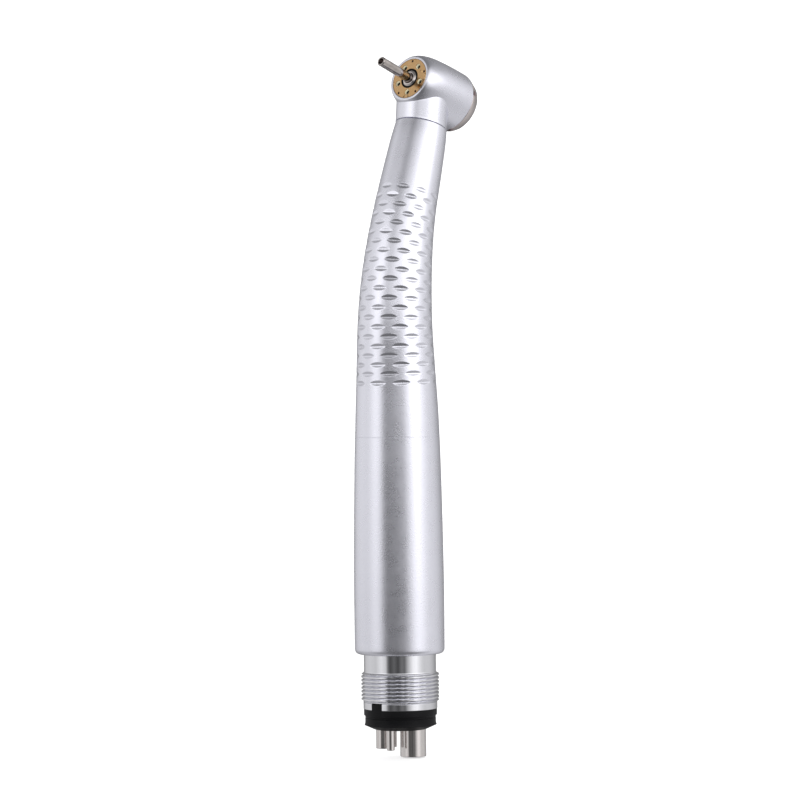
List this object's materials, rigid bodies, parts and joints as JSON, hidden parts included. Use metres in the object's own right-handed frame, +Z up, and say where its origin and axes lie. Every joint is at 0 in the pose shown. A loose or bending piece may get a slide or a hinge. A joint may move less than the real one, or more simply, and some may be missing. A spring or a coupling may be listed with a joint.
{
  "type": "high speed handpiece",
  "caption": "Dental air turbine with a bent dimpled grip, push-button chuck and bur, lit face plate and a threaded multi-tube connector.",
  "frame": {"origin": "centre of the black insulator's rear face, on the axis of the rear handle", "axes": "+Z runs up the axis of the rear handle to the head; the neck leans towards +X and the bur points towards -X, so the bend lies in the XZ plane; +Y completes a right-handed frame"},
  "size_m": [0.0259, 0.0152, 0.1194],
  "materials": {
    "satin_steel": "satin bead-blasted stainless steel",
    "brass_plate": "fine turned",
    "circuit_board": "lacquered board",
    "led_lens": "clear yellow-white lens",
    "black_seal": "smooth",
    "polished_chrome": "polished",
    "spring_steel": "drawn wire",
    "turned_steel": "fine turned",
    "bearing_steel": "ground",
    "cage_plastic": "moulded",
    "impeller_alloy": "machined",
    "stainless_tube": "drawn tube",
    "wire_cover": "extruded",
    "alloy_block": "machined",
    "copper_winding": "enamelled copper wire",
    "magnet_grey": "sintered",
    "white_plastic": "moulded",
    "bush_bronze": "sintered bronze",
    "black_plastic": "smooth moulded"
  },
  "bodies": {
    "handpiece": {"head_housing": "satin_steel", "face_plate": "brass_plate", "led_board": "circuit_board", "led_emitters": "led_lens", "front_seal_ring": "black_seal", "back_cap": "satin_steel", "button_spring": "spring_steel", "front_outer_race": "bearing_steel", "rear_outer_race": "bearing_steel", "front_suspension_ring": "black_seal", "rear_suspension_ring": "black_seal", "preload_washer": "spring_steel", "grip_sleeve": "satin_steel", "rear_sleeve": "satin_steel", "drive_air_pipe": "stainless_tube", "water_pipe": "stainless_tube", "chip_air_pipe": "stainless_tube", "led_wires": "wire_cover", "generator_housing": "alloy_block", "generator_end_cap": "alloy_block", "generator_coil": "copper_winding", "generator_bushes": "bush_bronze", "connector_collar": "polished_chrome", "slotted_ring": "polished_chrome", "insulator": "black_plastic", "tube_block": "alloy_block", "exhaust_tube": "stainless_tube", "drive_air_tube": "stainless_tube", "water_tube": "stainless_tube", "chip_air_tube": "stainless_tube", "sleeve_o_ring": "black_seal"},
    "rotor": {"spindle": "turned_steel", "chuck_collet": "turned_steel", "impeller": "impeller_alloy", "front_inner_race": "bearing_steel", "rear_inner_race": "bearing_steel"},
    "front_ball_set": {"front_balls": "bearing_steel", "front_cage": "cage_plastic"},
    "rear_ball_set": {"rear_balls": "bearing_steel", "rear_cage": "cage_plastic"},
    "bur": {"bur": "turned_steel"},
    "button": {"push_button": "polished_chrome"},
    "pusher": {"release_pusher": "turned_steel"},
    "generator_rotor": {"generator_shaft": "turned_steel", "generator_magnet": "magnet_grey", "generator_wheel": "white_plastic"}
  },
  "joints": [
    {"name": "rotor_spin", "type": "hinge", "parent": "handpiece", "child": "rotor", "pos_m": [0.00935, 0, 0.1091], "axis": [-0.9521, 0, 0.3057], "continuous": true},
    {"name": "front_balls_spin", "type": "hinge", "parent": "handpiece", "child": "front_ball_set", "pos_m": [0.00935, 0, 0.1091], "axis": [-0.9521, 0, 0.3057], "continuous": true},
    {"name": "rear_balls_spin", "type": "hinge", "parent": "handpiece", "child": "rear_ball_set", "pos_m": [0.00935, 0, 0.1091], "axis": [-0.9521, 0, 0.3057], "continuous": true},
    {"name": "bur_slide", "type": "slide", "parent": "rotor", "child": "bur", "axis": [-0.9521, 0, 0.3057], "range_m": [0, 0.0125]},
    {"name": "button_press", "type": "slide", "parent": "handpiece", "child": "button", "axis": [-0.9521, 0, 0.3057], "range_m": [0, 0.0005], "stiffness_N_per_m": 10, "springref_m": -0.0005, "deforming": ["button_spring"]},
    {"name": "pusher_slide", "type": "slide", "parent": "rotor", "child": "pusher", "axis": [-0.9521, 0, 0.3057], "range_m": [0, 0.00045]},
    {"name": "generator_spin", "type": "hinge", "parent": "handpiece", "child": "generator_rotor", "pos_m": [0, 0, 0.03], "axis": [0, 0, 1], "continuous": true}
  ],
  "couplings": [
    {"joint": "front_balls_spin", "follows": "rotor_spin", "ratio": 0.395},
    {"joint": "rear_balls_spin", "follows": "rotor_spin", "ratio": 0.395},
    {"joint": "pusher_slide", "follows": "button_press", "ratio": 0.85}
  ]
}
